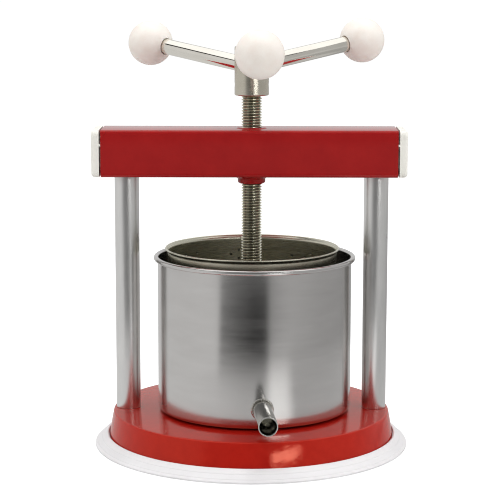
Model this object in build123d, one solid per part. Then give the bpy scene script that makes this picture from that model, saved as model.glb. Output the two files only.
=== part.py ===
from build123d import *
import math
import os

# A small table-top screw press for cheese. All lengths are in millimetres, all angles in degrees.
# Z is the axis of the screw, Z = 0 is the table, and the crossbeam runs along X.
# The whey spout points to -Y, which is the front.

# ---------------------------------------------------------------- driving dimensions
# Foot ring: a white moulding with a stepped, sloping top
RING_RADIUS = 146.0
RING_EDGE_HEIGHT = 1.6
RING_LIP_RADIUS = 133.6
RING_LIP_HEIGHT = 10.4
RING_LEDGE_HEIGHT = 7.0
RING_LEDGE_RADIUS = 125.0
RING_WALL = 2.2

# Base: a pressed steel dish, upside down
BASE_TOP = 32.3
BASE_TOP_RADIUS = 128.5
BASE_FOOT_RADIUS = 132.9
BASE_SHEET = 1.5
BASE_EDGE_ROUND = 3.2

# Columns and their fastenings
COLUMN_SPACING = 230.0
COLUMN_RADIUS = 11.25
COLUMN_WALL = 1.5
INSERT_LENGTH = 20.0
BOLT_RADIUS = 5.0
BOLT_REACH = 18.0
BOLT_HEAD_WIDTH = 17.0
BOLT_HEAD_HEIGHT = 6.4
BOLT_HOLE_RADIUS = 5.5
WASHER_RADIUS = 10.5
WASHER_THICKNESS = 2.0

# Crossbeam: rectangular tube
BEAM_BOTTOM = 251.7
BEAM_HEIGHT = 43.0
BEAM_DEPTH = 52.0
BEAM_LENGTH = 270.0
BEAM_SHIFT = -2.0
BEAM_WALL = 2.0
BEAM_CORNER = 3.4

# Plastic end caps of the beam
CAP_THICKNESS = 7.2
CAP_GAP = 1.4
CAP_CORNER = 5.0
CAP_PLUG_LENGTH = 6.5
CAP_PLUG_DEPTH = 36.0
CAP_PLUG_HEIGHT = 27.0
CAP_PLUG_WALL = 2.0
CAP_RIB = 2.0
CAP_RIB_INSET = 2.5
CAP_STOP_HEIGHT = 29.5

# Bush that the screw runs in, through the beam
NUT_RADIUS = 12.75
NUT_BOTTOM = 244.2
NUT_TOP = 295.6
NUT_CHAMFER = 1.2
WELD_LOWER_REACH = 5.0
WELD_LOWER_HEIGHT = 3.2
WELD_UPPER_REACH = 1.6
WELD_UPPER_HEIGHT = 0.7

# Screw
SCREW_RADIUS = 9.5
SCREW_TOP = 344.5
SCREW_RUNNING_CLEARANCE = 0.05
JOURNAL_RADIUS = 6.0
JOURNAL_GAP = 0.2
GROOVE_RADIUS = 4.8
GROOVE_HEIGHT = 4.4

# Container
CONTAINER_CENTRE = (2.9, -1.1)
CONTAINER_RADIUS = 89.8
CONTAINER_SHEET = 0.8
CONTAINER_CORNER = 6.0
CONTAINER_BEAD_RADIUS = 2.3
CONTAINER_BEAD_CENTRE = (91.1, 175.2)

# Whey spout, turned a little to the right of straight ahead
SPOUT_AZIMUTH = -85.5
SPOUT_HEIGHT = 52.2
SPOUT_RADIUS = 8.6
SPOUT_BORE_RADIUS = 7.6
SPOUT_REACH = 149.8
SPOUT_NECK_RADIUS = 8.3
SPOUT_NECK_END = 92.5
SPOUT_WELD_RADIUS = 10.2
SPOUT_WELD_LENGTH = 2.2

# Basket
BASKET_CENTRE = (0.7, 0.0)
BASKET_RADIUS = 78.2
BASKET_SHEET = 0.8
BASKET_RIM_RADIUS = 79.8
BASKET_RIM_HEIGHT = 183.6
BASKET_BEAD_RADIUS = 0.9
BASKET_FLARE_HEIGHT = 5.0
BASKET_FLOOR_HEIGHT = 41.0
BASKET_FLOOR_THICKNESS = 1.0
HOLE_RADIUS = 1.35
HOLE_BANDS = 8
HOLE_COLUMNS = 4
HOLE_COLUMN_STEP = 5.6
HOLE_BAND_TURN = 6.8
HOLE_ROW_STEP = 8.2
HOLE_ROWS = 16
HOLE_TOP = 169.5
FLOOR_HOLE_RADIUS = 2.0
FLOOR_HOLE_RINGS = 5
FLOOR_HOLE_RING_STEP = 13.5

# Press plate and the socket in which the end of the screw turns
PLATE_BOTTOM = 73.0
PLATE_RADIUS = 75.5
PLATE_THICKNESS = 3.0
PLATE_CHAMFER = 0.8
BOSS_RADIUS = 15.0
BOSS_HEIGHT = 16.0
BOSS_FLANGE_RADIUS = 25.0
BOSS_FLANGE_THICKNESS = 4.0
RIVET_CIRCLE = 20.0
RIVET_RADIUS = 2.5
RIVET_HEAD_RADIUS = 4.0
RIVET_HEAD_HEIGHT = 1.4
RIVET_COUNT = 4
GRUB_RADIUS = 2.5
GRUB_TIP_RADIUS = 1.8
GRUB_TIP_LENGTH = 3.0
GRUB_TIP_GAP = 0.3

# Hub and handle
HUB_RADIUS = 15.75
HUB_BOTTOM = 324.9
HUB_TOP = 369.6
HUB_CHAMFER = 1.0
HUB_PIN_RADIUS = 2.5
HUB_PIN_HEIGHT = 334.5
ARM_RADIUS = 7.3
ARM_ROOT_HEIGHT = 351.3
ARM_ROOT_RADIUS = 10.5
ARM_DEPTH_IN_KNOB = 12.0
KNOB_RADIUS = 21.1
KNOB_REACH = 121.1
# side: (azimuth of the arm, height of the knob's centre); the arms were welded in by eye
ARMS = {
    "front": (-86.8, 367.6),
    "right": (30.6, 372.8),
    "left": (142.7, 369.3),
}

# ---------------------------------------------------------------- worked-out places
COLUMN_X = COLUMN_SPACING / 2
BEAM_TOP = BEAM_BOTTOM + BEAM_HEIGHT
BEAM_MIDDLE = BEAM_BOTTOM + BEAM_HEIGHT / 2
CONTAINER_FLOOR = BASE_TOP + CONTAINER_SHEET
PLATE_TOP = PLATE_BOTTOM + PLATE_THICKNESS
BOSS_TOP = PLATE_TOP + BOSS_HEIGHT
GROOVE_MIDDLE = PLATE_TOP + BOSS_HEIGHT / 2


# ---------------------------------------------------------------- helpers
def cylinder(radius, bottom, top, x=0.0, y=0.0):
    """An upright cylinder between two heights."""
    low = (Align.CENTER, Align.CENTER, Align.MIN)
    return Pos(x, y, bottom) * Cylinder(radius, top - bottom, align=low)


def turned(points, x=0.0, y=0.0):
    """A solid of revolution about an upright axis, from a closed outline of (radius, height)."""
    outline = Polyline(*[(r, 0, z) for r, z in points], close=True)
    return Pos(x, y, 0) * revolve(make_face(outline), Axis.Z)


def ring_bead(radius, height, bead, x=0.0, y=0.0):
    """A round bead, such as a rolled rim."""
    return Pos(x, y, height) * Torus(radius, bead)


def radial(azimuth, height=0.0, x=0.0, y=0.0):
    """A place whose own Z axis points level outwards at an azimuth."""
    return Pos(x, y, height) * Rot(0, 0, azimuth) * Rot(0, 90, 0)


def rod(radius, start, end):
    """A round rod between two points."""
    line = Vector(*end) - Vector(*start)
    plane = Plane(origin=start, z_dir=line)
    low = (Align.CENTER, Align.CENTER, Align.MIN)
    return plane * Cylinder(radius, line.length, align=low)


def hexagon(width, bottom, top, x):
    """A hexagonal prism, as a bolt's head."""
    return Pos(x, 0, bottom) * extrude(RegularPolygon(width / 2, 6, major_radius=False), top - bottom)


def group(pieces):
    """Separate solids that share one node."""
    return Compound(children=[piece.solid() for piece in pieces])


# ---------------------------------------------------------------- frame
def base_ring():
    """Foot ring: ledge for the base inside, sloping top with two shallow steps outside."""
    outline = [
        (RING_RADIUS, 0),
        (RING_RADIUS, RING_EDGE_HEIGHT),
        (RING_RADIUS - 2.2, 2.9),
        (RING_RADIUS - 2.6, 3.6),
        (RING_RADIUS - 6.1, 6.6),
        (RING_RADIUS - 6.5, 7.4),
        (RING_LIP_RADIUS + 1.3, RING_LIP_HEIGHT + 0.3),
        (RING_LIP_RADIUS, RING_LIP_HEIGHT),
        (RING_LIP_RADIUS, RING_LEDGE_HEIGHT),
        (RING_LEDGE_RADIUS, RING_LEDGE_HEIGHT),
        (RING_LEDGE_RADIUS, 0),
        (RING_LEDGE_RADIUS + RING_WALL, 0),
        (RING_LEDGE_RADIUS + RING_WALL, RING_LEDGE_HEIGHT - RING_WALL),
        (RING_LIP_RADIUS + RING_WALL, RING_LEDGE_HEIGHT - RING_WALL),
        (RING_RADIUS - RING_WALL, 0),
    ]
    return turned(outline)


def base_outline(top, top_radius, foot_radius):
    """Flat top and flared side of the base, closed on the axis."""
    return [(0, RING_LEDGE_HEIGHT), (foot_radius, RING_LEDGE_HEIGHT), (top_radius, top), (0, top)]


def base_plate():
    outer = turned(base_outline(BASE_TOP, BASE_TOP_RADIUS, BASE_FOOT_RADIUS))
    outer = fillet(outer.edges().group_by(Axis.Z)[-1], BASE_EDGE_ROUND)
    inner_top = BASE_TOP - BASE_SHEET
    inner_outline = base_outline(inner_top, BASE_TOP_RADIUS - BASE_SHEET, BASE_FOOT_RADIUS - BASE_SHEET)
    inner = turned(inner_outline)
    inner = fillet(inner.edges().group_by(Axis.Z)[-1], BASE_EDGE_ROUND - BASE_SHEET)
    plate = outer - inner
    for side in (-1, 1):
        plate -= cylinder(BOLT_HOLE_RADIUS, 0, BASE_TOP, side * COLUMN_X)
    return plate


def column(side):
    outer = cylinder(COLUMN_RADIUS, BASE_TOP, BEAM_BOTTOM, side * COLUMN_X)
    return outer - cylinder(COLUMN_RADIUS - COLUMN_WALL, BASE_TOP, BEAM_BOTTOM, side * COLUMN_X)


def column_inserts():
    """Threaded plugs in both ends of both tubes."""
    plugs = []
    for side in (-1, 1):
        for bottom in (BASE_TOP, BEAM_BOTTOM - INSERT_LENGTH):
            plug = cylinder(COLUMN_RADIUS - COLUMN_WALL, bottom, bottom + INSERT_LENGTH, side * COLUMN_X)
            plugs.append(plug - cylinder(BOLT_RADIUS, bottom, bottom + INSERT_LENGTH, side * COLUMN_X))
    return group(plugs)


def washers(bottom):
    rings = []
    for side in (-1, 1):
        disc = cylinder(WASHER_RADIUS, bottom, bottom + WASHER_THICKNESS, side * COLUMN_X)
        rings.append(disc - cylinder(BOLT_HOLE_RADIUS, bottom, bottom + WASHER_THICKNESS, side * COLUMN_X))
    return group(rings)


def base_bolts():
    """Bolts from below, through the base into the tubes."""
    seat = BASE_TOP - BASE_SHEET - WASHER_THICKNESS
    bolts = []
    for side in (-1, 1):
        shank = cylinder(BOLT_RADIUS, seat, BASE_TOP + BOLT_REACH, side * COLUMN_X)
        bolts.append(shank + hexagon(BOLT_HEAD_WIDTH, seat - BOLT_HEAD_HEIGHT, seat, side * COLUMN_X))
    return group(bolts)


def beam_bolts():
    """Bolts from inside the beam, down into the tubes."""
    seat = BEAM_BOTTOM + BEAM_WALL + WASHER_THICKNESS
    bolts = []
    for side in (-1, 1):
        shank = cylinder(BOLT_RADIUS, BEAM_BOTTOM - BOLT_REACH, seat, side * COLUMN_X)
        bolts.append(shank + hexagon(BOLT_HEAD_WIDTH, seat, seat + BOLT_HEAD_HEIGHT, side * COLUMN_X))
    return group(bolts)


def beam_section(inset, corner):
    """Rounded rectangle across the beam, facing along X."""
    width = BEAM_DEPTH - 2 * inset
    height = BEAM_HEIGHT - 2 * inset
    plane = Plane(origin=(BEAM_SHIFT, 0, BEAM_MIDDLE), x_dir=(0, 1, 0), z_dir=(1, 0, 0))
    return plane * RectangleRounded(width, height, corner)


def crossbeam():
    beam = extrude(beam_section(0, BEAM_CORNER), BEAM_LENGTH / 2, both=True)
    beam -= extrude(beam_section(BEAM_WALL, BEAM_CORNER - BEAM_WALL), BEAM_LENGTH / 2, both=True)
    for side in (-1, 1):
        beam -= cylinder(BOLT_HOLE_RADIUS, BEAM_BOTTOM, BEAM_MIDDLE, side * COLUMN_X)
    return beam - cylinder(NUT_RADIUS, BEAM_BOTTOM, BEAM_TOP)


def end_cap(side):
    """Cover plate, hollow plug with ribs that grip the tube, and stops that keep a small gap."""
    beam_end = BEAM_SHIFT + side * BEAM_LENGTH / 2
    plane = Plane(origin=(beam_end, 0, BEAM_MIDDLE), x_dir=(0, side, 0), z_dir=(side, 0, 0))
    plate = Pos(0, 0, CAP_GAP) * extrude(RectangleRounded(BEAM_DEPTH, BEAM_HEIGHT, CAP_CORNER), CAP_THICKNESS)
    plate = fillet(plate.edges().group_by(Axis.Z)[-1], CAP_THICKNESS * 0.4)
    plug_ring = Rectangle(CAP_PLUG_DEPTH, CAP_PLUG_HEIGHT)
    plug_ring -= Rectangle(CAP_PLUG_DEPTH - 2 * CAP_PLUG_WALL, CAP_PLUG_HEIGHT - 2 * CAP_PLUG_WALL)
    cap = plate + Pos(0, 0, -CAP_PLUG_LENGTH) * extrude(plug_ring, CAP_PLUG_LENGTH + CAP_GAP)

    inside_depth = BEAM_DEPTH - 2 * BEAM_WALL
    inside_height = BEAM_HEIGHT - 2 * BEAM_WALL
    rib_length = CAP_PLUG_LENGTH - CAP_RIB_INSET
    rib_middle = -CAP_PLUG_LENGTH + rib_length / 2
    for end in (-1, 1):
        reach = (inside_depth - CAP_PLUG_DEPTH) / 2
        across = end * (CAP_PLUG_DEPTH + reach) / 2
        for height in (-CAP_PLUG_HEIGHT / 4, CAP_PLUG_HEIGHT / 4):
            rib = Box(reach, CAP_RIB, rib_length)
            cap += Pos(across, height, rib_middle) * rib
        reach = (inside_height - CAP_PLUG_HEIGHT) / 2
        up = end * (CAP_PLUG_HEIGHT + reach) / 2
        for across in (-CAP_PLUG_DEPTH / 4, CAP_PLUG_DEPTH / 4):
            rib = Box(CAP_RIB, reach, rib_length)
            cap += Pos(across, up, rib_middle) * rib
        stop = Box(BEAM_WALL, CAP_RIB, CAP_GAP)
        stop_height = CAP_STOP_HEIGHT - BEAM_HEIGHT / 2
        cap += Pos(end * (BEAM_DEPTH - BEAM_WALL) / 2, stop_height, CAP_GAP / 2) * stop
    return plane * cap


def beam_nut():
    """Plain bush of the screw; the thread is left out on both."""
    bore = SCREW_RADIUS + SCREW_RUNNING_CLEARANCE
    outline = [
        (bore, NUT_BOTTOM),
        (NUT_RADIUS - NUT_CHAMFER, NUT_BOTTOM),
        (NUT_RADIUS, NUT_BOTTOM + NUT_CHAMFER),
        (NUT_RADIUS, NUT_TOP - NUT_CHAMFER / 2),
        (NUT_RADIUS - NUT_CHAMFER / 2, NUT_TOP),
        (bore, NUT_TOP),
    ]
    return turned(outline)


def weld_bead(beam_face, reach, height):
    """Fillet weld between the bush and a face of the beam; height is negative below it."""
    outline = [
        (NUT_RADIUS, beam_face),
        (NUT_RADIUS + reach, beam_face),
        (NUT_RADIUS + reach * 0.55, beam_face + height * 0.5),
        (NUT_RADIUS, beam_face + height),
    ]
    return turned(outline)


# ---------------------------------------------------------------- container
def spout_rod(radius, inner, outer):
    """Cylinder on the spout's axis, between two distances from the container's axis."""
    low = (Align.CENTER, Align.CENTER, Align.MIN)
    place = radial(SPOUT_AZIMUTH, SPOUT_HEIGHT, *CONTAINER_CENTRE) * Pos(0, 0, inner)
    return place * Cylinder(radius, outer - inner, align=low)


def container():
    """Wall, rolled rim and rounded corner; the flat of the floor is a node of its own."""
    x, y = CONTAINER_CENTRE
    rim = CONTAINER_BEAD_CENTRE[1]
    pot = cylinder(CONTAINER_RADIUS, BASE_TOP, rim, x, y)
    pot = fillet(pot.edges().group_by(Axis.Z)[0], CONTAINER_CORNER)
    space = cylinder(CONTAINER_RADIUS - CONTAINER_SHEET, CONTAINER_FLOOR, rim, x, y)
    space = fillet(space.edges().group_by(Axis.Z)[0], CONTAINER_CORNER - CONTAINER_SHEET)
    pot -= space
    pot += ring_bead(*CONTAINER_BEAD_CENTRE, CONTAINER_BEAD_RADIUS, x, y)
    return pot - container_floor() - spout_rod(SPOUT_NECK_RADIUS, CONTAINER_RADIUS / 2, SPOUT_REACH)


def container_floor():
    return cylinder(CONTAINER_RADIUS - CONTAINER_CORNER, BASE_TOP, CONTAINER_FLOOR, *CONTAINER_CENTRE)


def whey_spout():
    """Plain tube, turned down a little where it passes through the pot's wall and the weld."""
    x, y = CONTAINER_CENTRE
    start = CONTAINER_RADIUS / 2
    tube = spout_rod(SPOUT_NECK_RADIUS, start, SPOUT_NECK_END) + spout_rod(SPOUT_RADIUS, SPOUT_NECK_END, SPOUT_REACH)
    tube -= spout_rod(SPOUT_BORE_RADIUS, start, SPOUT_REACH)
    return tube - cylinder(CONTAINER_RADIUS - CONTAINER_SHEET, BASE_TOP, BEAM_BOTTOM, x, y)


def spout_weld():
    """Ring of weld where the spout leaves the container."""
    x, y = CONTAINER_CENTRE
    low = (Align.CENTER, Align.CENTER, Align.MIN)
    start = CONTAINER_RADIUS - 3
    length = 3 + SPOUT_WELD_LENGTH
    place = radial(SPOUT_AZIMUTH, SPOUT_HEIGHT, x, y) * Pos(0, 0, start)
    cone = place * Cone(SPOUT_WELD_RADIUS + 1.2, SPOUT_RADIUS + 0.5, length, align=low)
    ring = cone - spout_rod(SPOUT_NECK_RADIUS, start, SPOUT_REACH)
    return ring - cylinder(CONTAINER_RADIUS, BASE_TOP, BEAM_BOTTOM, x, y)


# ---------------------------------------------------------------- basket
def basket_holes():
    """Drain holes in upright bands, each of a few columns with every other column half a step lower."""
    holes = []
    middle = (HOLE_COLUMNS - 1) / 2
    for band in range(HOLE_BANDS):
        for col in range(HOLE_COLUMNS):
            azimuth = 90 + HOLE_BAND_TURN + band * 360 / HOLE_BANDS + (col - middle) * HOLE_COLUMN_STEP
            for row in range(HOLE_ROWS):
                height = HOLE_TOP - (row + (col % 2) / 2) * HOLE_ROW_STEP
                place = radial(azimuth, height, *BASKET_CENTRE) * Pos(0, 0, BASKET_RADIUS)
                holes.append(place * Cylinder(HOLE_RADIUS, 6))
    return holes


def basket_wall():
    x, y = BASKET_CENTRE
    flare_start = BASKET_RIM_HEIGHT - BASKET_FLARE_HEIGHT
    outline = [
        (BASKET_RADIUS - BASKET_SHEET, CONTAINER_FLOOR),
        (BASKET_RADIUS, CONTAINER_FLOOR),
        (BASKET_RADIUS, flare_start),
        (BASKET_RIM_RADIUS, BASKET_RIM_HEIGHT),
        (BASKET_RIM_RADIUS - BASKET_SHEET, BASKET_RIM_HEIGHT),
        (BASKET_RADIUS - BASKET_SHEET, flare_start),
    ]
    wall = turned(outline, x, y)
    wall += ring_bead(BASKET_RIM_RADIUS, BASKET_RIM_HEIGHT, BASKET_BEAD_RADIUS, x, y)
    return wall - basket_holes()


def basket_floor():
    x, y = BASKET_CENTRE
    top = BASKET_FLOOR_HEIGHT + BASKET_FLOOR_THICKNESS
    disc = cylinder(BASKET_RADIUS - BASKET_SHEET, BASKET_FLOOR_HEIGHT, top, x, y)
    holes = [cylinder(FLOOR_HOLE_RADIUS, BASKET_FLOOR_HEIGHT, top, x, y)]
    for ring in range(1, FLOOR_HOLE_RINGS + 1):
        for k in range(6 * ring):
            turn = math.radians(k * 60 / ring)
            hole_x = x + ring * FLOOR_HOLE_RING_STEP * math.cos(turn)
            hole_y = y + ring * FLOOR_HOLE_RING_STEP * math.sin(turn)
            holes.append(cylinder(FLOOR_HOLE_RADIUS, BASKET_FLOOR_HEIGHT, top, hole_x, hole_y))
    return disc - holes


# ---------------------------------------------------------------- press plate
def rivet_places():
    for k in range(RIVET_COUNT):
        turn = math.radians((k + 0.5) * 360 / RIVET_COUNT)
        yield RIVET_CIRCLE * math.cos(turn), RIVET_CIRCLE * math.sin(turn)


def press_plate():
    plate = cylinder(PLATE_RADIUS, PLATE_BOTTOM, PLATE_TOP)
    plate = chamfer(plate.edges(), PLATE_CHAMFER)
    for x, y in rivet_places():
        plate -= cylinder(RIVET_RADIUS, PLATE_BOTTOM, PLATE_TOP, x, y)
    return plate


def plate_boss():
    """Flanged socket with a plain bore, and two threaded holes for the grub screws."""
    boss = cylinder(BOSS_RADIUS, PLATE_TOP, BOSS_TOP)
    boss = chamfer(boss.edges().group_by(Axis.Z)[-1], PLATE_CHAMFER)
    boss += cylinder(BOSS_FLANGE_RADIUS, PLATE_TOP, PLATE_TOP + BOSS_FLANGE_THICKNESS)
    boss -= cylinder(JOURNAL_RADIUS + SCREW_RUNNING_CLEARANCE, PLATE_TOP, BOSS_TOP)
    for x, y in rivet_places():
        boss -= cylinder(RIVET_RADIUS, PLATE_TOP, PLATE_TOP + BOSS_FLANGE_THICKNESS, x, y)
    for azimuth in (0, 180):
        boss -= radial(azimuth, GROOVE_MIDDLE) * Pos(0, 0, BOSS_RADIUS / 2) * Cylinder(GRUB_RADIUS, BOSS_RADIUS)
    return boss


def plate_rivets():
    flange_top = PLATE_TOP + BOSS_FLANGE_THICKNESS
    rivets = []
    for x, y in rivet_places():
        rivet = cylinder(RIVET_RADIUS, PLATE_BOTTOM, flange_top, x, y)
        rivet += cylinder(RIVET_HEAD_RADIUS, flange_top, flange_top + RIVET_HEAD_HEIGHT, x, y)
        rivets.append(rivet)
    return group(rivets)


def plate_grub_screws():
    """Their dog points run in the groove of the screw's end, and so hold the plate up."""
    tip_start = GROOVE_RADIUS + GRUB_TIP_GAP
    body_start = tip_start + GRUB_TIP_LENGTH
    low = (Align.CENTER, Align.CENTER, Align.MIN)
    screws = []
    for azimuth in (0, 180):
        place = radial(azimuth, GROOVE_MIDDLE)
        tip = place * Pos(0, 0, tip_start) * Cylinder(GRUB_TIP_RADIUS, GRUB_TIP_LENGTH, align=low)
        length = BOSS_RADIUS - 0.5 - body_start
        body = place * Pos(0, 0, body_start) * Cylinder(GRUB_RADIUS, length, align=low)
        screws.append(tip + body)
    return group(screws)


# ---------------------------------------------------------------- screw and handle
def screw():
    """Spindle at the outside diameter of its thread, with a plain, grooved lower end."""
    shoulder = BOSS_TOP + JOURNAL_GAP
    groove_bottom = GROOVE_MIDDLE - GROOVE_HEIGHT / 2
    groove_top = GROOVE_MIDDLE + GROOVE_HEIGHT / 2
    outline = [
        (0, PLATE_TOP + JOURNAL_GAP),
        (JOURNAL_RADIUS, PLATE_TOP + JOURNAL_GAP),
        (JOURNAL_RADIUS, groove_bottom),
        (GROOVE_RADIUS, groove_bottom),
        (GROOVE_RADIUS, groove_top),
        (JOURNAL_RADIUS, groove_top),
        (JOURNAL_RADIUS, shoulder),
        (SCREW_RADIUS - 1, shoulder),
        (SCREW_RADIUS, shoulder + 1),
        (SCREW_RADIUS, SCREW_TOP),
        (0, SCREW_TOP),
    ]
    return turned(outline) - hub_pin()


def hub_pin():
    return Pos(0, 0, HUB_PIN_HEIGHT) * Rot(0, 90, 0) * Cylinder(HUB_PIN_RADIUS, 2 * HUB_RADIUS - 1)


def arm_line(side):
    """Start and end of an arm, and the centre of its knob."""
    azimuth, knob_height = ARMS[side]
    along = (math.cos(math.radians(azimuth)), math.sin(math.radians(azimuth)))
    slope = (knob_height - ARM_ROOT_HEIGHT) / KNOB_REACH

    def point(reach):
        return (reach * along[0], reach * along[1], ARM_ROOT_HEIGHT + reach * slope)

    return point(ARM_ROOT_RADIUS), point(KNOB_REACH - KNOB_RADIUS + ARM_DEPTH_IN_KNOB), point(KNOB_REACH)


def arm(side):
    start, end, _ = arm_line(side)
    return rod(ARM_RADIUS, start, end)


def hub():
    body = cylinder(HUB_RADIUS, HUB_BOTTOM, HUB_TOP)
    body = chamfer(body.edges(), HUB_CHAMFER)
    body -= cylinder(SCREW_RADIUS, HUB_BOTTOM, SCREW_TOP)
    body -= hub_pin()
    for side in ARMS:
        body -= arm(side)
    return body


def knob(side):
    _, _, centre = arm_line(side)
    return Pos(*centre) * Sphere(KNOB_RADIUS) - arm(side)


# ---------------------------------------------------------------- nodes
NODES = {
    "base_ring": base_ring(),
    "base_plate": base_plate(),
    "base_bolts": base_bolts(),
    "base_washers": washers(BASE_TOP - BASE_SHEET - WASHER_THICKNESS),
    "column_left": column(-1),
    "column_right": column(1),
    "column_inserts": column_inserts(),
    "crossbeam": crossbeam(),
    "beam_bolts": beam_bolts(),
    "beam_washers": washers(BEAM_BOTTOM + BEAM_WALL),
    "end_cap_left": end_cap(-1),
    "end_cap_right": end_cap(1),
    "beam_nut": beam_nut(),
    "weld_bead_lower": weld_bead(BEAM_BOTTOM, WELD_LOWER_REACH, -WELD_LOWER_HEIGHT),
    "weld_bead_upper": weld_bead(BEAM_TOP, WELD_UPPER_REACH, WELD_UPPER_HEIGHT),
    "container": container(),
    "container_floor": container_floor(),
    "whey_spout": whey_spout(),
    "spout_weld": spout_weld(),
    "basket_wall": basket_wall(),
    "basket_floor": basket_floor(),
    "press_plate": press_plate(),
    "plate_boss": plate_boss(),
    "plate_rivets": plate_rivets(),
    "plate_grub_screws": plate_grub_screws(),
    "screw": screw(),
    "hub": hub(),
    "hub_pin": hub_pin(),
}
for arm_side in ARMS:
    NODES["arm_" + arm_side] = arm(arm_side)
    NODES["knob_" + arm_side] = knob(arm_side)

os.makedirs("parts", exist_ok=True)
for node_name, shape in NODES.items():
    export_step(shape, "parts/" + node_name + ".step")
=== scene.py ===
"""Visual model of the cheese press: finishes, finer pieces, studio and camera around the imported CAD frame."""
import math

import bmesh
import bpy
from mathutils import Matrix, Vector, noise


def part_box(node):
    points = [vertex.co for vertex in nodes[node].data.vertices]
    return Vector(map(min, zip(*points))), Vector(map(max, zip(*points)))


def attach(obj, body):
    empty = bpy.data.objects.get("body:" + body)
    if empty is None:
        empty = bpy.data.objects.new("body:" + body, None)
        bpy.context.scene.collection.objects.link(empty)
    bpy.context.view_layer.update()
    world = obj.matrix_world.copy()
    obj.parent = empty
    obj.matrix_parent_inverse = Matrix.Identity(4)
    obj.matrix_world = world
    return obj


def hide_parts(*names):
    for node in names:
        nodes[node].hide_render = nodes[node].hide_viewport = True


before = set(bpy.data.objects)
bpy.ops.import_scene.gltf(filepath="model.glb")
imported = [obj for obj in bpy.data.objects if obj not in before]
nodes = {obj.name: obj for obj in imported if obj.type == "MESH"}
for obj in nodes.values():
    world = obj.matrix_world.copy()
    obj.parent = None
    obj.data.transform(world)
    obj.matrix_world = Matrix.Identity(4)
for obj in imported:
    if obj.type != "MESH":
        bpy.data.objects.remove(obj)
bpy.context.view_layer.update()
MM = 0.001


# ---------------------------------------------------------------- node graphs
def graph(name):
    mat = bpy.data.materials.new(name)
    mat.use_nodes = True
    return mat, mat.node_tree, mat.node_tree.nodes["Principled BSDF"]


def add(tree, kind, **values):
    """A new node; each value goes to the socket of that name, or else to the node's setting of that name."""
    node = tree.nodes.new(kind)
    for key, value in values.items():
        if key in node.inputs.keys():
            node.inputs[key].default_value = value
        else:
            setattr(node, key, value)
    return node


def noise_at(tree, scale, detail, roughness=0.55):
    """Noise over the object's own coordinates; scale is per metre, along each axis."""
    coords = add(tree, "ShaderNodeTexCoord")
    mapping = add(tree, "ShaderNodeMapping", Scale=scale)
    texture = add(tree, "ShaderNodeTexNoise", Scale=1.0, Detail=detail, Roughness=roughness)
    tree.links.new(coords.outputs["Object"], mapping.inputs["Vector"])
    tree.links.new(mapping.outputs["Vector"], texture.inputs["Vector"])
    return texture.outputs["Fac"]


def remap(tree, value, low, high, from_low=0.3, from_high=0.7):
    """The value moved from one range to another; the defaults are the range that noise mostly covers."""
    node = add(tree, "ShaderNodeMapRange")
    node.inputs["From Min"].default_value = from_low
    node.inputs["From Max"].default_value = from_high
    node.inputs["To Min"].default_value = low
    node.inputs["To Max"].default_value = high
    tree.links.new(value, node.inputs["Value"])
    return node.outputs["Result"]


def total(tree, first, second):
    node = add(tree, "ShaderNodeMath", operation="ADD")
    tree.links.new(first, node.inputs[0])
    tree.links.new(second, node.inputs[1])
    return node.outputs["Value"]


def mix_colours(tree, factor, first, second):
    """A mix of two colours, each either a tuple or the socket of another node."""
    node = add(tree, "ShaderNodeMix", data_type="RGBA")
    tree.links.new(factor, node.inputs[0])
    sockets = [i for i in node.inputs if i.type == "RGBA"]
    for socket, source in zip(sockets, (first, second)):
        if isinstance(source, tuple):
            socket.default_value = (*source, 1)
        else:
            tree.links.new(source, socket)
    return [o for o in node.outputs if o.type == "RGBA"][0]


def surface(name, dark, light, mottle, grain, rough, grain_rough=0.0, bump=0.0, wave=0.0, radial=False,
            **sockets):
    """A finish: colour and gloss drift with a coarse noise, and a fine noise gives the grain and its relief.

    dark, light: the two ends of the colour; mottle, grain: scale per metre along each axis;
    rough: (low, high); bump, wave: depth in metres of the fine and of the coarse relief."""
    mat, tree, shader = graph(name)
    coarse = noise_at(tree, mottle, 3.0)
    fine = noise_at(tree, grain, 5.0, 0.6)
    both = total(tree, remap(tree, coarse, 0.0, 0.7), remap(tree, fine, 0.0, 0.3))
    tree.links.new(mix_colours(tree, both, dark, light), shader.inputs["Base Color"])
    drift = remap(tree, coarse, rough[0], rough[1])
    if grain_rough:
        drift = total(tree, drift, remap(tree, fine, -grain_rough, grain_rough))
    tree.links.new(drift, shader.inputs["Roughness"])
    normal = None
    for depth, source in ((wave, coarse), (bump, fine)):
        if depth:
            relief = add(tree, "ShaderNodeBump", Strength=1.0, Distance=depth)
            tree.links.new(source, relief.inputs["Height"])
            if normal:
                tree.links.new(normal, relief.inputs["Normal"])
            normal = relief.outputs["Normal"]
    if normal:
        tree.links.new(normal, shader.inputs["Normal"])
    if radial:
        tangent = add(tree, "ShaderNodeTangent", direction_type="RADIAL", axis="Z")
        tree.links.new(tangent.outputs["Tangent"], shader.inputs["Tangent"])
    for key, value in sockets.items():
        shader.inputs[key.replace("_", " ")].default_value = value
    return mat


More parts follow.
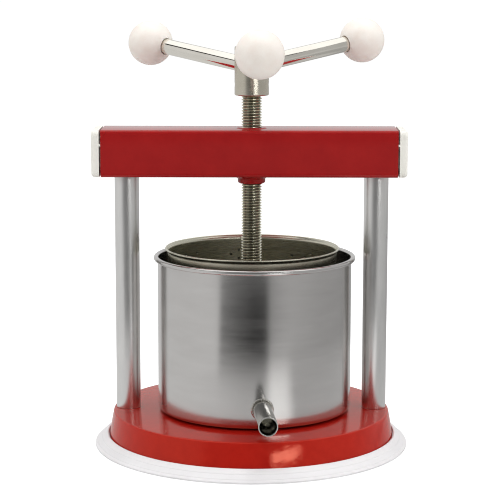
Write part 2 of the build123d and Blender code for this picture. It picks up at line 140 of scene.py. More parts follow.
def darken_by_radius(material, inner, outer, shade):
    """The colour is scaled by shade inside the inner radius, and is whole outside the outer one (metres)."""
    tree = material.node_tree
    shader = tree.nodes["Principled BSDF"]
    colour = shader.inputs["Base Color"].links[0].from_socket
    coords = add(tree, "ShaderNodeTexCoord")
    flat = add(tree, "ShaderNodeVectorMath", operation="MULTIPLY")
    flat.inputs[1].default_value = (1, 1, 0)
    radius = add(tree, "ShaderNodeVectorMath", operation="LENGTH")
    tree.links.new(coords.outputs["Object"], flat.inputs[0])
    tree.links.new(flat.outputs["Vector"], radius.inputs[0])
    factor = remap(tree, radius.outputs["Value"], shade, 1.0, inner, outer)
    scaled = add(tree, "ShaderNodeVectorMath", operation="SCALE")
    tree.links.new(colour, scaled.inputs[0])
    tree.links.new(factor, scaled.inputs["Scale"])
    tree.links.new(scaled.outputs["Vector"], shader.inputs["Base Color"])


def lean_back(material, slope):
    """Upright faces shade as if they leaned back a little more, as a slightly tapered face does."""
    tree = material.node_tree
    shader = tree.nodes["Principled BSDF"]
    coords = add(tree, "ShaderNodeTexCoord")
    parts = add(tree, "ShaderNodeSeparateXYZ")
    scaled = add(tree, "ShaderNodeMath", operation="MULTIPLY")
    scaled.inputs[1].default_value = -slope
    relief = add(tree, "ShaderNodeBump", Strength=1.0, Distance=1.0)
    tree.links.new(coords.outputs["Object"], parts.inputs[0])
    tree.links.new(parts.outputs["Z"], scaled.inputs[0])
    tree.links.new(scaled.outputs["Value"], relief.inputs["Height"])
    tree.links.new(shader.inputs["Normal"].links[0].from_socket, relief.inputs["Normal"])
    tree.links.new(relief.outputs["Normal"], shader.inputs["Normal"])


# ---------------------------------------------------------------- finishes
ENAMEL = surface(
    "red_enamel", (0.31, 0.0080, 0.0095), (0.37, 0.0110, 0.0115), (38, 38, 38), (240, 240, 240),
    (0.06, 0.11), bump=0.000012, wave=0.00008, Specular_IOR_Level=0.32, Specular_Tint=(1.0, 0.82, 0.72, 1.0),
)
# A lighter, warmer copy of the red enamel for the base dish: its greater brightness is painted light, standing
# in for the stronger light on the base's side
BASE_ENAMEL_PAINTED_LIGHT = surface(
    "red_enamel_base", (0.42, 0.0100, 0.0060), (0.49, 0.0140, 0.0080), (90, 90, 90), (300, 300, 300),
    (0.05, 0.10), bump=0.00003, wave=0.00010, Metallic=0.08, Specular_IOR_Level=0.36,
    Specular_Tint=(1.0, 0.80, 0.52, 1.0),
)
WHITE_RING = surface(
    "white_moulding", (0.79, 0.78, 0.79), (0.86, 0.85, 0.86), (25, 25, 25), (900, 900, 900), (0.34, 0.48),
    bump=0.00002, wave=0.0001, Specular_IOR_Level=0.45,
)
WHITE_CAP = surface(
    "white_cap", (0.85, 0.83, 0.76), (0.91, 0.89, 0.83), (60, 60, 60), (1100, 1100, 1100), (0.38, 0.52),
    bump=0.00002, wave=0.0001, Specular_IOR_Level=0.4,
)
WHITE_KNOB = surface(
    "white_knob", (0.88, 0.80, 0.73), (0.94, 0.89, 0.83), (90, 90, 90), (750, 750, 750), (0.38, 0.52),
    bump=0.00004, wave=0.0001, Specular_IOR_Level=0.35, Subsurface_Weight=0.06,
    Subsurface_Radius=(0.006, 0.004, 0.003), Subsurface_Scale=1.0,
)
ZINC = surface(
    "zinc_tube", (0.72, 0.72, 0.71), (0.86, 0.85, 0.83), (90, 90, 22), (300, 300, 60), (0.27, 0.34),
    grain_rough=0.015, wave=0.00001, Metallic=1.0,
)
ROD = surface(
    "plated_rod", (0.76, 0.73, 0.66), (0.88, 0.85, 0.78), (60, 60, 30), (1300, 1300, 90), (0.07, 0.13),
    grain_rough=0.03, bump=0.000004, wave=0.00003, Metallic=1.0,
)
TURNED = surface(
    "turned_steel", (0.56, 0.52, 0.43), (0.66, 0.62, 0.53), (50, 50, 50), (30, 30, 3500), (0.20, 0.30),
    grain_rough=0.05, bump=0.000004, radial=True, Metallic=1.0, Anisotropic=-0.3,
)
THREAD = surface(
    "screw_steel", (0.80, 0.76, 0.58), (0.95, 0.92, 0.76), (120, 120, 120), (1200, 1200, 1200), (0.14, 0.24),
    grain_rough=0.04, bump=0.000002, Metallic=1.0,
)
FASTENER = surface(
    "fasteners", (0.48, 0.48, 0.46), (0.62, 0.61, 0.58), (160, 160, 160), (1500, 1500, 1500), (0.25, 0.40),
    grain_rough=0.06, bump=0.00001, Metallic=1.0,
)
POT = surface(
    "stainless_pot", (0.59, 0.575, 0.56), (0.67, 0.655, 0.64), (14, 14, 60), (18, 18, 5200), (0.16, 0.21),
    grain_rough=0.03, bump=0.000003, radial=True, Metallic=1.0, Anisotropic=-0.45,
)
BASKET = surface(
    "stainless_basket", (0.60, 0.585, 0.47), (0.70, 0.68, 0.57), (14, 14, 60), (20, 20, 4200), (0.24, 0.30),
    grain_rough=0.04, bump=0.000003, wave=0.00003, radial=True, Metallic=1.0, Anisotropic=-0.3,
)
SPOUT = surface(
    "stainless_spout", (0.56, 0.55, 0.52), (0.68, 0.67, 0.64), (90, 90, 40), (60, 60, 2600), (0.08, 0.15),
    grain_rough=0.03, bump=0.000003, Metallic=1.0,
)
WELD = surface(
    "weld_metal", (0.46, 0.44, 0.40), (0.62, 0.60, 0.56), (300, 300, 300), (1500, 1500, 1500), (0.16, 0.30),
    grain_rough=0.06, bump=0.00002, Metallic=1.0,
)
PLATE = surface(
    "stainless_plate", (0.52, 0.51, 0.48), (0.62, 0.61, 0.57), (30, 30, 30), (900, 900, 900), (0.20, 0.30),
    grain_rough=0.05, bump=0.000004, radial=True, Metallic=1.0, Anisotropic=-0.4,
)

lean_back(BASE_ENAMEL_PAINTED_LIGHT, 0.10)
lean_back(TURNED, 0.155)
lean_back(THREAD, 0.155)
# Painted shade: the thread's colour is darkened from its roots up its flanks, standing in for the shade between
# the turns
darken_by_radius(THREAD, 0.0083, 0.0092, 0.36)
# Painted shade: the pot's inside wall is darkened so the gap around the basket and the basket's holes look dark
darken_by_radius(POT, 0.0882, 0.0886, 0.16)


# ---------------------------------------------------------------- meshes
def rounded(outline, steps=4):
    """Closed outline of (x, y, radius) with its corners rounded."""
    points = []
    count = len(outline)
    for i, (x, y, radius) in enumerate(outline):
        here = Vector((x, y))
        before = Vector(outline[i - 1][:2]) - here
        after = Vector(outline[(i + 1) % count][:2]) - here
        if radius <= 0 or before.length < 1e-9 or after.length < 1e-9:
            points.append((x, y))
            continue
        half = before.angle(after) / 2
        setback = min(radius / math.tan(half), 0.49 * before.length, 0.49 * after.length)
        radius = setback * math.tan(half)
        bisector = (before.normalized() + after.normalized()).normalized()
        centre = here + bisector * (radius / math.sin(half))
        start = here + before.normalized() * setback - centre
        end = here + after.normalized() * setback - centre
        turn = start.angle_signed(end)
        for k in range(steps + 1):
            p = centre + Matrix.Rotation(-turn * k / steps, 2) @ start
            points.append((p.x, p.y))
    return points


def build_mesh(name, verts, faces, weld=False):
    """Mesh with its faces turned outwards; weld joins points that coincide, and drops loose ones."""
    mesh = bpy.data.meshes.new(name)
    mesh.from_pydata(verts, [], faces)
    bm = bmesh.new()
    bm.from_mesh(mesh)
    if weld:
        bmesh.ops.remove_doubles(bm, verts=bm.verts, dist=1e-7)
        bmesh.ops.delete(bm, geom=[v for v in bm.verts if not v.link_faces], context="VERTS")
    bmesh.ops.recalc_face_normals(bm, faces=bm.faces)
    bm.to_mesh(mesh)
    bm.free()
    return mesh


def point_on_circle(radius, turn, z):
    """Point in metres, from a radius and a height in millimetres and a turn in radians."""
    return radius * math.cos(turn) * MM, radius * math.sin(turn) * MM, z * MM


def lathe_mesh(name, outline, segments=192, closed=True, shift=None):
    """Turns an outline of (radius, height) in millimetres about an upright axis."""
    verts = []
    faces = []
    count = len(outline)
    for k in range(segments):
        turn = 2 * math.pi * k / segments
        for r, z in outline:
            if shift:
                r, z = shift(turn, r, z)
            verts.append(point_on_circle(r, turn, z))
    last = count if closed else count - 1
    for k in range(segments):
        near = k * count
        far = (k + 1) % segments * count
        for i in range(last):
            j = (i + 1) % count
            faces.append((near + i, far + i, far + j, near + j))
    return build_mesh(name, verts, faces, weld=True)


def rod_mesh(radius, length, segments=64):
    return lathe_mesh("rod", [(0, 0), (radius, 0), (radius, length), (0, length)], segments, closed=False)


def join_meshes(name, meshes):
    bm = bmesh.new()
    for mesh in meshes:
        bm.from_mesh(mesh)
    mesh = bpy.data.meshes.new(name)
    bm.to_mesh(mesh)
    bm.free()
    return mesh


def cut(mesh, cutters):
    """The mesh with the cutter meshes taken away."""
    base = bpy.data.objects.new("work", mesh)
    bpy.context.scene.collection.objects.link(base)
    helpers = []
    for cutter in cutters:
        helper = bpy.data.objects.new("work_cutter", cutter)
        bpy.context.scene.collection.objects.link(helper)
        modifier = base.modifiers.new("cut", "BOOLEAN")
        modifier.operation = "DIFFERENCE"
        modifier.solver = "EXACT"
        modifier.object = helper
        helpers.append(helper)
    bpy.context.view_layer.update()
    result = bpy.data.meshes.new_from_object(base.evaluated_get(bpy.context.evaluated_depsgraph_get()))
    for obj in [base, *helpers]:
        bpy.data.objects.remove(obj)
    return result


def finish_piece(name, mesh, material, body, replaced, place=None, sharp=35):
    """Makes the piece from a mesh in metres, and ties it to its body and the CAD it stands for."""
    mesh.validate()
    mesh.shade_smooth()
    mesh.set_sharp_from_angle(angle=math.radians(sharp))
    obj = bpy.data.objects.new(name, mesh)
    bpy.context.scene.collection.objects.link(obj)
    if place:
        obj.matrix_world = place
    mesh.materials.clear()
    mesh.materials.append(material)
    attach(obj, body)
    if replaced:
        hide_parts(*replaced)
    return obj


# ---------------------------------------------------------------- sizes from the CAD frame, in millimetres
def box_mm(node):
    low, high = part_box(node)
    return low / MM, high / MM


def beside(x, y):
    """Place of a piece whose own axis stands upright at x, y (millimetres)."""
    return Matrix.Translation((x * MM, y * MM, 0))


ring_high = box_mm("base_ring")[1]
base_low, base_high = box_mm("base_plate")
pot_low, pot_high = box_mm("container")
wall_low, wall_high = box_mm("basket_wall")
beam_low, beam_high = box_mm("crossbeam")
nut_low, nut_high = box_mm("beam_nut")
screw_low, screw_high = box_mm("screw")
hub_low, hub_high = box_mm("hub")
pin_low, pin_high = box_mm("hub_pin")
plate_low, plate_high = box_mm("press_plate")
boss_low, boss_high = box_mm("plate_boss")
spout_low, spout_high = box_mm("whey_spout")

# ---------------------------------------------------------------- foot ring and base
# Stepped moulding, from its outer foot over the top to its inner foot: (radius, height, corner)
R = ring_high.x
ring_outline = rounded([
    (R, 0, 0.3), (R, 1.6, 0.5), (R - 2.2, 2.9, 0.4), (R - 2.6, 3.6, 0.4), (R - 6.1, 6.6, 0.5),
    (R - 6.5, 7.4, 0.4), (R - 11.1, 10.7, 0.5), (R - 12.4, 10.4, 0.5), (R - 12.4, 7.0, 0.2),
    (R - 21.0, 7.0, 0.4), (R - 21.0, 0, 0.3), (R - 18.8, 0, 0.3), (R - 18.8, 4.8, 0.5),
    (R - 10.2, 4.8, 0.5), (R - 2.2, 0, 0.2),
])
finish_piece(
    "foot_ring", lathe_mesh("foot_ring", ring_outline, 320), WHITE_RING, "frame",
    ["base_ring"],
)

BASE_SHEET = 1.5
BASE_LEAN = 4.4
BASE_BULGE = 0.18
BASE_INSET = 0.05
BASE_FOOT_CORNER = 0.5
BASE_TOP_CORNER = 3.9
SIDE_STEPS = 8


def base_outline():
    """Pressed dish: a leaning, slightly crowned side, a soft top edge, and a flat top."""
    foot = base_high.x
    top = base_high.z
    corners = {0: BASE_FOOT_CORNER, SIDE_STEPS: BASE_TOP_CORNER}
    outline = []
    for k in range(SIDE_STEPS + 1):
        t = k / SIDE_STEPS
        radius = foot - BASE_LEAN * t - BASE_INSET + BASE_BULGE * math.sin(math.pi * t)
        outline.append((radius, base_low.z + (top - base_low.z) * t, corners.get(k, 0)))
    outline += [
        (0, top, 0), (0, top - BASE_SHEET, 0), (foot - BASE_LEAN - BASE_SHEET, top - BASE_SHEET, 1.7),
        (foot - BASE_SHEET, base_low.z, 0.3),
    ]
    return rounded(outline, 8)


finish_piece(
    "base_dish", lathe_mesh("base_dish", base_outline(), 320), BASE_ENAMEL_PAINTED_LIGHT, "frame",
    ["base_plate"],
)

# ---------------------------------------------------------------- columns
COLUMN_WALL = 1.5
for side in ("left", "right"):
    low, high = box_mm("column_" + side)
    middle = (low + high) / 2
    outside = (high.x - low.x) / 2
    inside = outside - COLUMN_WALL
    outline = rounded([
        (outside, low.z, 0.3), (outside, high.z, 0.3), (inside, high.z, 0.2), (inside, low.z, 0.2),
    ])
    finish_piece(
        "column_tube_" + side, lathe_mesh("column", outline, 128), ZINC, "frame",
        ["column_" + side], beside(middle.x, middle.y),
    )

# ---------------------------------------------------------------- crossbeam
BEAM_WALL = 2
BEAM_CORNER = 3.4
BEAM_CUT_EDGE = 0.35


def beam_section(inset, corner):
    """The tube's rounded rectangle, set in from its outside."""
    half_y = (beam_high.y - beam_low.y) / 2 - inset
    low_z = beam_low.z + inset
    high_z = beam_high.z - inset
    return rounded([
        (-half_y, low_z, corner), (half_y, low_z, corner),
        (half_y, high_z, corner), (-half_y, high_z, corner),
    ], 8)


def beam_mesh():
    """Rectangular tube whose cut ends are eased, closed through its bore."""
    outer = beam_section(0, BEAM_CORNER)
    inner = beam_section(BEAM_WALL, 1.4)
    lip = beam_section(BEAM_CUT_EDGE, 3.1)
    left, right = beam_low.x, beam_high.x
    stations = [
        (left, lip), (left + 0.15, outer), (left + 0.5, outer), (left + 6, outer), (right - 6, outer),
        (right - 0.5, outer), (right - 0.15, outer), (right, lip), (right, inner), (left, inner),
    ]
    verts = [(x * MM, y * MM, z * MM) for x, section in stations for y, z in section]
    faces = []
    count = len(outer)
    for s in range(len(stations)):
        t = (s + 1) % len(stations)
        for i in range(count):
            j = (i + 1) % count
            faces.append((s * count + i, s * count + j, t * count + j, t * count + i))
    return build_mesh("beam_tube", verts, faces)


finish_piece("beam_tube", beam_mesh(), ENAMEL, "frame", ["crossbeam"])

# Bush and its welds, softened by the enamel
BUSH_CLEARANCE = 0.05
bush_bore = (screw_high.x - screw_low.x) / 2 + BUSH_CLEARANCE
N = nut_high.x
nut_outline = rounded([
    (bush_bore, nut_low.z, 0.2), (N - 1.2, nut_low.z, 0.5), (N, nut_low.z + 1.2, 0.8),
    (N, nut_high.z - 0.6, 0.3), (N - 0.6, nut_high.z, 0.3), (bush_bore, nut_high.z, 0.2),
])
finish_piece(
    "screw_bush", lathe_mesh("screw_bush", nut_outline, 128), ENAMEL, "frame", ["beam_nut"],
)


def weld_ring(name, node, face, reach, height, seed):
    """Fillet of weld around the bush, sunk a little into the beam; height is negative below the beam."""
    sunk = face - 0.2 * math.copysign(1, height)
    outline = rounded([
        (N - 0.5, sunk, 0), (N + reach + 0.2, sunk, 0), (N + reach, face + height * 0.16, 0.2),
        (N + reach * 0.45, face + height * 0.45, abs(height) * 0.4), (N + 0.4, face + height, 0.3),
        (N - 0.5, face + height, 0),
    ], 3)

    def ripple(turn, r, z):
        wave = math.sin(turn * 17 + 1.5 * math.sin(turn * 3 + seed))
        lump = noise.noise(Vector((math.cos(turn) * 1.7, math.sin(turn) * 1.7, seed)))
        out = max(0.0, r - N) / reach
        drop = max(0.0, (z - face) / height)
        r += out * reach * (0.22 * lump + 0.05 * wave)
        z += drop * height * (0.18 * lump + 0.05 * wave)
        return r, z

    finish_piece(
        name, lathe_mesh(name, outline, 256, shift=ripple), ENAMEL, "frame", [node], sharp=60,
    )


weld_ring("bush_weld_lower", "weld_bead_lower", beam_low.z, 4.9, -3.0, 3.1)
weld_ring("bush_weld_upper", "weld_bead_upper", beam_high.z, 1.5, 0.62, 8.3)

# ---------------------------------------------------------------- container
SHEET_GAUGE = 0.8
POT_BEAD = 2.3
POT_RIM_STEP = 1.3
POT_CORNER = 6.0
WALL_STEPS = 23
pot_rim = (pot_high.x - pot_low.x) / 2 - POT_BEAD
pot_radius = pot_rim - POT_RIM_STEP
pot_place = beside((pot_low.x + pot_high.x) / 2, (pot_low.y + pot_high.y) / 2)


def curl(radius, height, bead_radius, start, end, steps):
    """Points of a rolled rim's outside, from one angle to another (degrees, 0 is outwards)."""
    points = []
    for k in range(steps + 1):
        a = math.radians(start + (end - start) * k / steps)
        points.append((radius + bead_radius * math.cos(a), height + bead_radius * math.sin(a)))
    return points


def pot_outline():
    """Drawn pot: up its outside from a round corner, over the rolled rim, and down to its floor."""
    bottom = pot_low.z
    rim_height = pot_high.z - POT_BEAD
    outside_end = rim_height - 2.2
    inside_start = rim_height - 1.2
    inside = pot_radius - SHEET_GAUGE
    floor_top = bottom + SHEET_GAUGE
    outline = curl(pot_radius - POT_CORNER, bottom + POT_CORNER, POT_CORNER, -90, 0, 8)
    for k in range(1, WALL_STEPS + 1):
        height = bottom + POT_CORNER + (outside_end - bottom - POT_CORNER) * k / WALL_STEPS
        outline.append((pot_radius, height))
    outline += curl(pot_rim, rim_height, POT_BEAD, -112, 180, 26)
    for k in range(WALL_STEPS + 1):
        outline.append((inside, inside_start - (inside_start - floor_top - POT_CORNER) * k / WALL_STEPS))
    outline += curl(inside - POT_CORNER, floor_top + POT_CORNER, POT_CORNER, 0, -90, 8)[1:]
    return outline + [(40, floor_top), (0, floor_top), (0, bottom), (40, bottom)]


SPOUT_AZIMUTH = -85.5
SPOUT_RADIUS = 8.6
SPOUT_BORE_RADIUS = 7.6
SPOUT_NECK_RADIUS = 8.3
SPOUT_START = 88.7
SPOUT_END = 149.8
spout_place = (
    pot_place
    @ Matrix.Translation((0, 0, (spout_low.z + spout_high.z) / 2 * MM))
    @ Matrix.Rotation(math.radians(SPOUT_AZIMUTH), 4, "Z")
    @ Matrix.Rotation(math.pi / 2, 4, "Y")
)
drill = rod_mesh(SPOUT_NECK_RADIUS, 40)
drill.transform(pot_place.inverted() @ spout_place @ Matrix.Translation((0, 0, 70 * MM)))
pot_mesh = cut(lathe_mesh("pot", pot_outline(), 288), [drill])
finish_piece("pot", pot_mesh, POT, "pot", ["container", "container_floor"], pot_place)

# Tube with a neck in the pot's wall and a thin, slightly worn lip
spout_outline = rounded([
    (SPOUT_NECK_RADIUS, SPOUT_START, 0.1), (SPOUT_NECK_RADIUS, SPOUT_START + 3.7, 0.1),
    (SPOUT_RADIUS, SPOUT_START + 4.0, 0.1), (SPOUT_RADIUS, SPOUT_END, 0.35),
    (SPOUT_BORE_RADIUS, SPOUT_END, 0.35), (SPOUT_BORE_RADIUS, SPOUT_START, 0.1),
])
finish_piece(
    "spout_tube", lathe_mesh("spout_tube", spout_outline, 96), SPOUT, "pot",
    ["whey_spout"], spout_place,
)


def bead_on_pot(name, node, ring_radius, thickness, seed):
    """Weld that follows the pot's wall around the spout."""
    verts = []
    faces = []
    around = 160
    across = 12
    for k in range(around):
        t = 2 * math.pi * k / around
        lump = noise.noise(Vector((math.cos(t) * 1.4, math.sin(t) * 1.4, seed)))
        wave = math.sin(t * 26 + 2 * math.sin(2 * t + seed))
        size = thickness * (1 + 0.16 * lump + 0.05 * wave)
        for m in range(across):
            a = 2 * math.pi * m / across
            r = ring_radius + size * math.cos(a)
            across_wall = r * math.sin(t)
            along = math.sqrt(pot_radius ** 2 - across_wall ** 2) - 0.2 + size * 0.95 * math.sin(a)
            verts.append((r * math.cos(t) * MM, across_wall * MM, along * MM))
    for k in range(around):
        for m in range(across):
            n = (m + 1) % across
            q = (k + 1) % around * across
            faces.append((k * across + m, q + m, q + n, k * across + n))
    mesh = build_mesh(name, verts, faces)
    finish_piece(name, mesh, WELD, "pot", [node], spout_place, sharp=80)


bead_on_pot("spout_bead", "spout_weld", 9.2, 1.15, 4.7)

# ---------------------------------------------------------------- basket
BASKET_BEAD = 0.9
FLARE_HEIGHT = 3.2
FLARE_REACH = 1.6
HOLE_RADIUS = 1.35
HOLE_TOP = 169.5
HOLE_BANDS = 8
HOLE_BAND_TURN = 6.8
HOLE_COLUMNS = 4
HOLE_COLUMN_STEP = 5.6
HOLE_ROWS = 16
HOLE_ROW_STEP = 8.2
CELLS = 4
GAP_CELLS = 16
basket_rim = (wall_high.x - wall_low.x) / 2 - BASKET_BEAD
basket_rim_height = wall_high.z - BASKET_BEAD
basket_radius = basket_rim - FLARE_REACH
flare_start = basket_rim_height - FLARE_HEIGHT


def basket_angles():
    """Azimuths of the wall's grid in degrees: four cells to a column of holes, and sixteen to a gap."""
    angles = []
    band_width = HOLE_COLUMNS * HOLE_COLUMN_STEP
    gap = 360 / HOLE_BANDS - band_width
    for band in range(HOLE_BANDS):
        start = 90 + HOLE_BAND_TURN + band * 360 / HOLE_BANDS - band_width / 2
        angles += [start + HOLE_COLUMN_STEP * k / CELLS for k in range(CELLS * HOLE_COLUMNS)]
        angles += [start + band_width + gap * k / GAP_CELLS for k in range(GAP_CELLS)]
    return angles


def basket_heights():
    """Heights of the wall's grid: four cells to a row of holes, and a finer grid in the flare."""
    cell = HOLE_ROW_STEP / CELLS
    grid_top = HOLE_TOP + 2 * cell
    heights = [wall_low.z + 0.4]
    heights += [grid_top - cell * k for k in range(CELLS * HOLE_ROWS + 2, -1, -1)]
    heights += [grid_top + 3, flare_start - 0.4]
    heights += [basket_rim_height - FLARE_HEIGHT * (1 - k / 6) for k in range(6)]
    return heights


def basket_mesh():
    """Thin wall as a grid around the axis, with a square of cells at each hole replaced by the round hole."""
    angles = basket_angles()
    heights = basket_heights()
    levels = len(heights)
    inner_radius = basket_radius - SHEET_GAUGE
    leans = [FLARE_REACH * max(0.0, (z - flare_start) / FLARE_HEIGHT) ** 2 for z in heights]
    outside = [(basket_radius + lean, z) for lean, z in zip(leans, heights)]
    inside = [(inner_radius + lean, z) for lean, z in zip(leans, heights)]
    rim = curl(basket_rim, basket_rim_height, BASKET_BEAD, -100, 165, 14)
    foot = [(inner_radius + 0.3, wall_low.z), (basket_radius - 0.3, wall_low.z)]
    section = outside + rim + inside[::-1] + foot
    count = len(section)
    first_inner = levels + len(rim)
    verts = [point_on_circle(r, math.radians(angle), z) for angle in angles for r, z in section]

    def vertex(column, level, inner):
        index = first_inner + levels - 1 - level if inner else level
        return column % len(angles) * count + index

    side = range(CELLS)
    border = [(0, k) for k in side] + [(k, CELLS) for k in side]
    border += [(CELLS, CELLS - k) for k in side] + [(CELLS - k, 0) for k in side]
    points = len(border)
    taken = set()
    hole_faces = []
    for band in range(HOLE_BANDS):
        for col in range(HOLE_COLUMNS):
            for row in range(HOLE_ROWS):
                column = band * (CELLS * HOLE_COLUMNS + GAP_CELLS) + col * CELLS
                base = 1 + CELLS * (HOLE_ROWS - 1 - row) + (0 if col % 2 else 2)
                taken.update((column + du, base + dv) for du in side for dv in side)
                azimuth = math.radians(angles[column] + HOLE_COLUMN_STEP / 2)
                height = heights[base] + HOLE_ROW_STEP / 2
                rings = []
                for inner in (False, True):
                    ring = []
                    for du, dv in border:
                        a = math.atan2(dv - 2, du - 2)
                        turn = azimuth + HOLE_RADIUS * math.cos(a) / basket_radius
                        ring.append(len(verts))
                        radius = inner_radius if inner else basket_radius
                        verts.append(point_on_circle(radius, turn, height + HOLE_RADIUS * math.sin(a)))
                    rings.append(ring)
                    for k in range(points):
                        n = (k + 1) % points
                        pair = [vertex(column + border[m][0], base + border[m][1], inner) for m in (k, n)]
                        hole_faces.append((pair[0], pair[1], ring[n], ring[k]))
                for k in range(points):
                    n = (k + 1) % points
                    hole_faces.append((rings[0][k], rings[0][n], rings[1][n], rings[1][k]))

    # The grid's level that each side of the section belongs to, where holes may replace it
    level_of = {i: i for i in range(levels - 1)}
    level_of.update({i: first_inner + levels - 2 - i for i in range(first_inner, first_inner + levels - 1)})
    faces = []
    for column in range(len(angles)):
        near = column * count
        far = (column + 1) % len(angles) * count
        for i in range(count):
            if (column, level_of.get(i)) in taken:
                continue
            j = (i + 1) % count
            faces.append((near + i, far + i, far + j, near + j))
    return build_mesh("basket_shell", verts, faces + hole_faces)


finish_piece(
    "basket_shell", basket_mesh(), BASKET, "basket", ["basket_wall"],
    beside((wall_low.x + wall_high.x) / 2, (wall_low.y + wall_high.y) / 2),
)

# ---------------------------------------------------------------- press plate and socket
P = plate_high.x
plate_outline = rounded([
    (0, plate_low.z, 0), (P, plate_low.z, 0.7), (P, plate_high.z, 0.7), (0, plate_high.z, 0),
])
finish_piece(
    "press_disc", lathe_mesh("press_disc", plate_outline, 256), PLATE, "plate",
    ["press_plate"],
)
SOCKET_BORE = 6.05
SOCKET_RADIUS = 15
FLANGE_RADIUS = 25
FLANGE_THICKNESS = 4
flange_top = boss_low.z + FLANGE_THICKNESS
boss_outline = rounded([
    (SOCKET_BORE, boss_low.z, 0.1), (FLANGE_RADIUS, boss_low.z, 0.2), (FLANGE_RADIUS, flange_top, 0.6),
    (SOCKET_RADIUS + 0.2, flange_top, 0.8), (SOCKET_RADIUS, boss_high.z, 0.8),
    (SOCKET_BORE, boss_high.z, 0.3),
])
finish_piece(
    "plate_socket", lathe_mesh("plate_socket", boss_outline, 160), TURNED, "plate",
    ["plate_boss"],
)

# ---------------------------------------------------------------- screw
PITCH = 2.54
SHOULDER = 92.2
TURN_STEPS = 96
crest = (screw_high.x - screw_low.x) / 2
root = crest - 1.65
# One turn's outline, from root to root: (part of the pitch, radius)
THREAD_OUTLINE = [
    (0.0, root), (0.09, root + 0.08), (0.25, root + 0.70), (0.41, crest - 0.16), (0.46, crest),
    (0.54, crest), (0.59, crest - 0.16), (0.75, root + 0.70), (0.91, root + 0.08),
]


def thread_mesh():
    """Helical thread, flattened at the shoulder and at the screw's top."""
    steps = TURN_STEPS * (int((screw_high.z - SHOULDER) / PITCH) + 3)
    count = len(THREAD_OUTLINE)
    verts = []
    for k in range(steps + 1):
        for part, radius in THREAD_OUTLINE:
            z = SHOULDER + PITCH * (part - 1 + k / TURN_STEPS)
            z = min(max(z, SHOULDER), screw_high.z)
            r = min(radius, crest - 1.0 + (z - SHOULDER))
            verts.append(point_on_circle(r, 2 * math.pi * k / TURN_STEPS, z))
    faces = []
    for k in range(steps):
        near = k * count
        far = near + count
        quads = [(near + i, far + i, far + i + 1, near + i + 1) for i in range(count - 1)]
        if k + 1 + TURN_STEPS <= steps:
            above = near + TURN_STEPS * count
            quads.append((near + count - 1, far + count - 1, above + count, above))
        faces += [quad for quad in quads if len({verts[v][2] for v in quad}) > 1]
    return build_mesh("thread", verts, faces, weld=True)


# The plain end in the plate's socket, with a groove for the grub screws, and the shoulder above it
JOURNAL_RADIUS = 6
JOURNAL_BOTTOM = 76.2
JOURNAL_CHAMFER = 0.4
GROOVE_RADIUS = 4.8
GROOVE_BOTTOM = 81.8
GROOVE_TOP = 86.2
SHOULDER_RADIUS = crest - 1.5
journal = lathe_mesh("journal", [
    (0, JOURNAL_BOTTOM), (JOURNAL_RADIUS - JOURNAL_CHAMFER, JOURNAL_BOTTOM),
    (JOURNAL_RADIUS, JOURNAL_BOTTOM + JOURNAL_CHAMFER), (JOURNAL_RADIUS, GROOVE_BOTTOM),
    (GROOVE_RADIUS, GROOVE_BOTTOM), (GROOVE_RADIUS, GROOVE_TOP), (JOURNAL_RADIUS, GROOVE_TOP),
    (JOURNAL_RADIUS, SHOULDER), (SHOULDER_RADIUS, SHOULDER), (SHOULDER_RADIUS, SHOULDER + 1),
    (0, SHOULDER + 1),
], 96, closed=False)
finish_piece(
    "threaded_spindle", join_meshes("threaded_spindle", [thread_mesh(), journal]), THREAD, "handle",
    ["screw"], sharp=50,
)

# ---------------------------------------------------------------- hub, arms and knobs
H = hub_high.x
hub_outline = rounded([
    (0, hub_low.z, 0), (H - 0.8, hub_low.z, 0.3), (H, hub_low.z + 0.8, 0.3), (H, hub_high.z - 1, 0.4),
    (H - 1, hub_high.z, 0.4), (0, hub_high.z, 0),
])
PIN_HOLE_RADIUS = 2.6
pin_height = (pin_low.z + pin_high.z) / 2
pin_hole = rod_mesh(PIN_HOLE_RADIUS, 40, 48)
pin_hole.transform(Matrix.Translation((-20 * MM, 0, pin_height * MM)) @ Matrix.Rotation(math.pi / 2, 4, "Y"))
hub_mesh = cut(lathe_mesh("hub_body", hub_outline, 192), [pin_hole])
finish_piece("hub_body", hub_mesh, TURNED, "handle", ["hub"])

ARM_RADIUS = 7.3
ARM_START = 10.6
ARM_DEPTH_IN_KNOB = 11.9
SOCKET_DEPTH_IN_KNOB = 12.1
MOUTH_WIDENING = 0.9
BALL_STEPS = 48
ARM_ROOT = Vector((0, 0, 351.3))


def knob_outline(knob, arm):
    """Ball with a blind bore for the arm and a small flare at its mouth, its axis through the bore."""
    mouth = math.asin((arm + MOUTH_WIDENING) / knob)
    ball = []
    for k in range(BALL_STEPS + 1):
        a = mouth + (math.pi - mouth) * k / BALL_STEPS
        ball.append((knob * math.sin(a), -knob * math.cos(a)))
    ball[-1] = (0, knob)
    lip = ball[0][1]
    depth = SOCKET_DEPTH_IN_KNOB - knob
    return [(0, depth), (arm + 0.15, depth), (arm + 0.15, lip + 0.9), (arm + 0.3, lip + 0.35)] + ball


for side in ("front", "right", "left"):
    low, high = box_mm("knob_" + side)
    centre = (low + high) / 2
    knob = (high.z - low.z) / 2
    line = centre - ARM_ROOT
    aim = line.to_track_quat("Z", "Y").to_matrix().to_4x4()
    arm_end = line.length - knob + ARM_DEPTH_IN_KNOB
    rod_outline = rounded([
        (0, ARM_START, 0), (ARM_RADIUS, ARM_START, 0.2), (ARM_RADIUS, arm_end, 0.5), (0, arm_end, 0),
    ])
    finish_piece(
        "arm_rod_" + side, lathe_mesh("arm_rod", rod_outline, 96), ROD, "handle",
        ["arm_" + side], Matrix.Translation(ARM_ROOT * MM) @ aim,
    )
    ball = lathe_mesh("knob_ball", knob_outline(knob, ARM_RADIUS), 128, closed=False)
    ball.transform(aim)
    finish_piece(
        "knob_ball_" + side, ball, WHITE_KNOB, "handle", ["knob_" + side],
        Matrix.Translation(centre * MM),
    )

